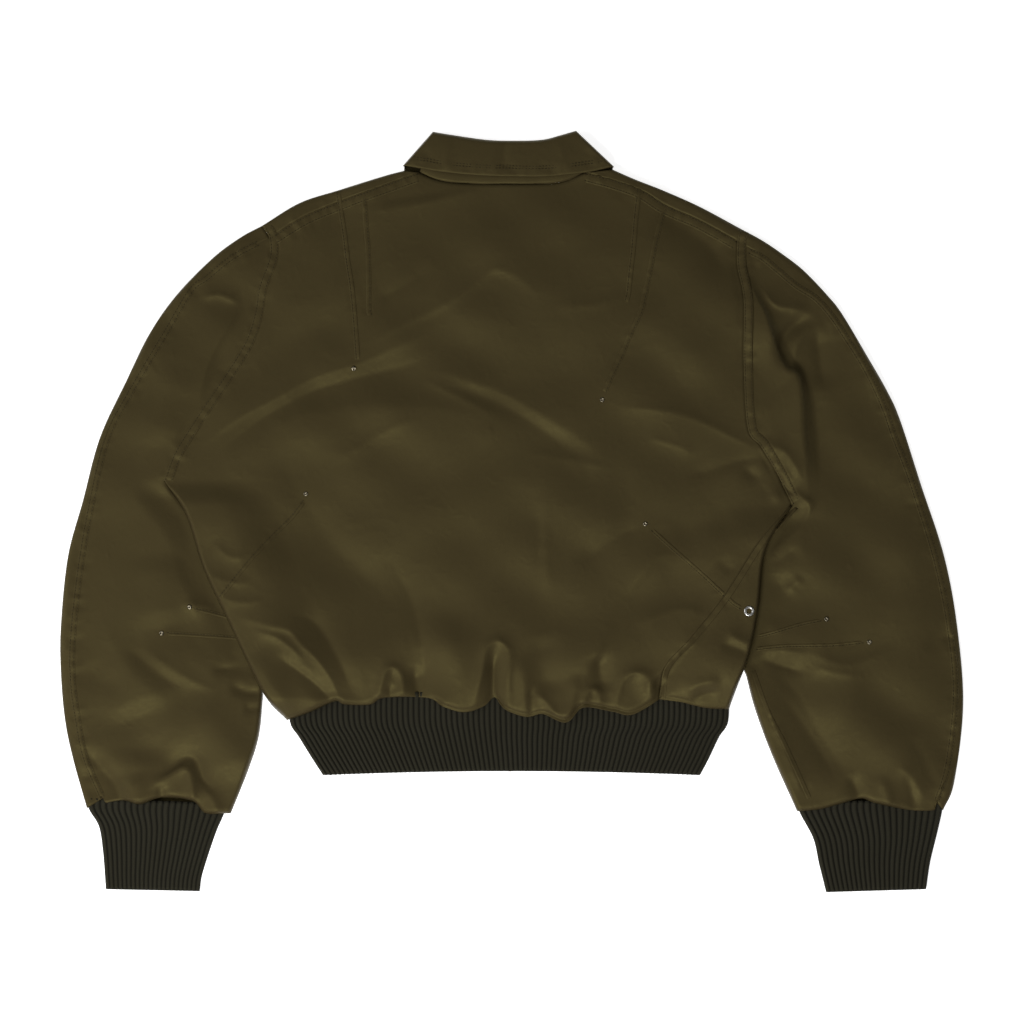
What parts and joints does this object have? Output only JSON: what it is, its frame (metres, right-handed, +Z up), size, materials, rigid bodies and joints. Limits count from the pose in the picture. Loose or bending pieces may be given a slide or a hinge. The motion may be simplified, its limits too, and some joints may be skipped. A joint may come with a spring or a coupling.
{
  "type": "bomber jacket, laid flat",
  "caption": "Nylon bomber jacket laid flat on its front, back up, with folded collar, gathered body over a ribbed hem, full sleeves and ribbed cuffs.",
  "frame": {"origin": "centre of the bounding box's lower face, on the surface that the jacket lies on", "axes": "+Z up from the surface, out of the jacket's back; +Y towards the collar; +X to the right of someone who looks down at the back"},
  "size_m": [0.9022, 0.7594, 0.0178],
  "materials": {
    "nylon": "olive brown satin nylon",
    "rib": "dark olive ribbed knit",
    "zip_tape": "woven tape and coil",
    "steel": "plain nickel-coloured metal"
  },
  "bodies": {
    "jacket": {"back_panel": "nylon", "side_panel_right": "nylon", "front_left": "nylon", "front_right": "nylon", "sleeve_left_back": "nylon", "sleeve_left_front": "nylon", "sleeve_right_back": "nylon", "sleeve_right_front": "nylon", "collar_stand": "nylon", "collar_leaf": "nylon", "cuff_left": "rib", "cuff_right": "rib", "hem_rib": "rib", "zip_tape_left": "zip_tape", "zip_tape_right": "zip_tape", "zip_teeth": "zip_tape", "zip_slider": "steel", "rivet_back_1": "steel", "rivet_back_2": "steel", "rivet_back_3": "steel", "rivet_back_4": "steel", "rivet_sleeve_1": "steel", "rivet_sleeve_2": "steel", "rivet_sleeve_3": "steel", "rivet_sleeve_4": "steel", "eyelet": "steel"},
    "pull_tab": {"zip_pull": "steel"}
  },
  "joints": [
    {"name": "pull_swing", "type": "hinge", "parent": "jacket", "child": "pull_tab", "pos_m": [-0.003, 0.2503, 0.00325], "axis": [1, 0, 0], "range_deg": [0, 170]}
  ]
}
